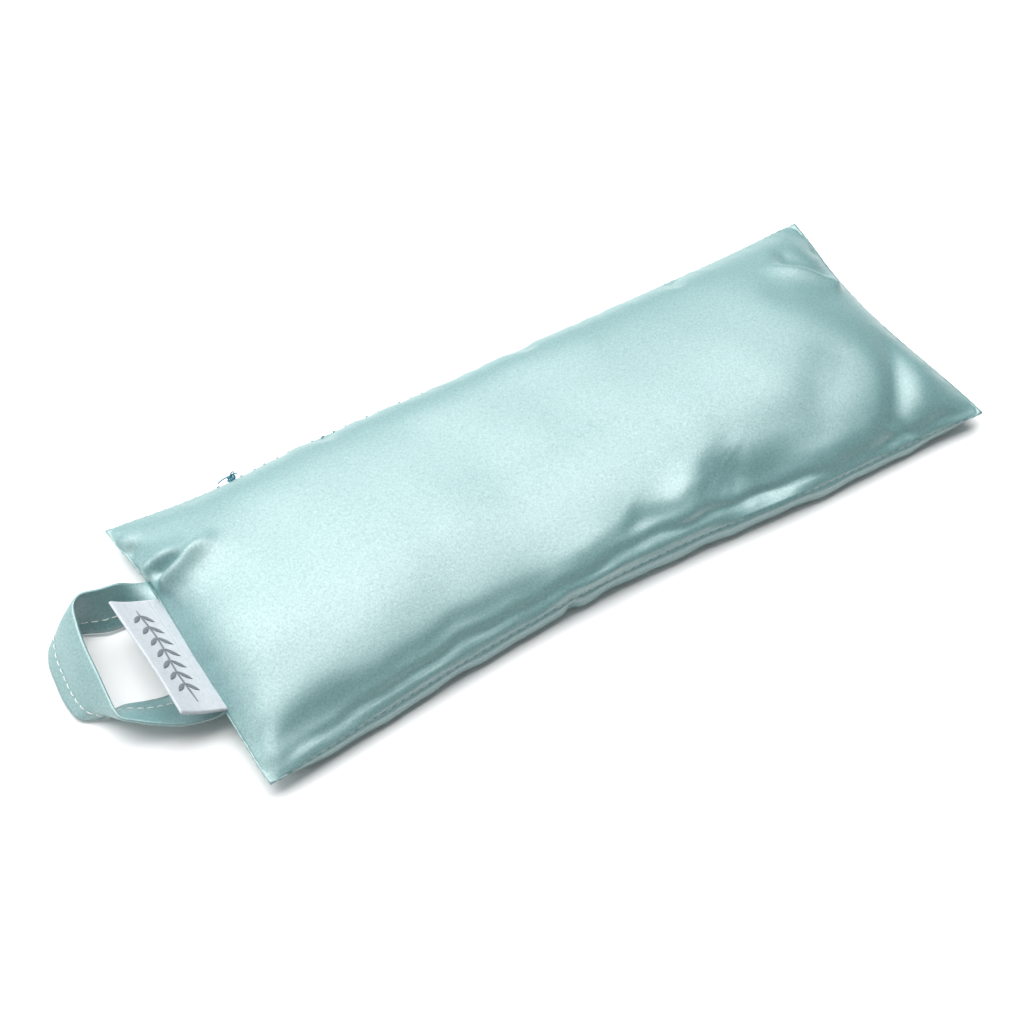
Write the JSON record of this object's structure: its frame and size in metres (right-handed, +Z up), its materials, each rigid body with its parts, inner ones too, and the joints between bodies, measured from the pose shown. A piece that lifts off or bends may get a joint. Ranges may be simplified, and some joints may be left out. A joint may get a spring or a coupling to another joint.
{
  "type": "eye pillow",
  "caption": "Slim satin eye pillow filled with loose seed, with a twisted hanging loop and a folded woven label sewn into one short end.",
  "frame": {"origin": "centre of the flat underside, on the surface that the pillow rests on", "axes": "+X along the pillow's length to the plain end, -X to the end with the loop and label, +Y across it to the long side with the hand-closed gap, +Z up through the crown"},
  "size_m": [0.2822, 0.0967, 0.0216],
  "materials": {
    "satin": "smooth satin with a soft sheen and a fine weave",
    "satin_strap": "satin strip folded lengthwise, soft sheen",
    "seam_thread": "spun sewing thread",
    "teal_thread": "spun sewing thread, dark teal",
    "white_thread": "spun sewing thread, white",
    "muslin": "plain unbleached muslin",
    "muslin_thread": "spun sewing thread, natural",
    "flax_seed": "glossy brown seeds packed loosely",
    "lavender": "dry matt buds",
    "woven_label": "close woven tape with a slight sheen",
    "label_yarn": "woven yarn"
  },
  "bodies": {
    "pillow": {"cover_top_panel": "satin", "cover_bottom_panel": "satin", "near_side_stitching": "seam_thread", "far_side_stitching": "seam_thread", "loop_end_stitching": "seam_thread", "plain_end_stitching": "seam_thread", "closing_stitches": "teal_thread", "closing_thread_knot": "teal_thread", "inner_pouch_top": "muslin", "inner_pouch_bottom": "muslin", "inner_pouch_stitching": "muslin_thread", "seed_filling": "flax_seed", "lavender_buds": "lavender"},
    "hanging_loop": {"loop_strap": "satin_strap", "loop_edge_stitching": "white_thread"},
    "label": {"label": "woven_label", "label_woven_motif": "label_yarn"}
  },
  "joints": [
    {"name": "loop_swing", "type": "hinge", "parent": "pillow", "child": "hanging_loop", "pos_m": [-0.1262, 0, 0.0067], "axis": [0, 1, 0], "range_deg": [-75, 70]},
    {"name": "label_flap", "type": "hinge", "parent": "hanging_loop", "child": "label", "pos_m": [-0.1262, 0, 0.0085], "axis": [0, 1, 0], "range_deg": [-25, 20]}
  ]
}
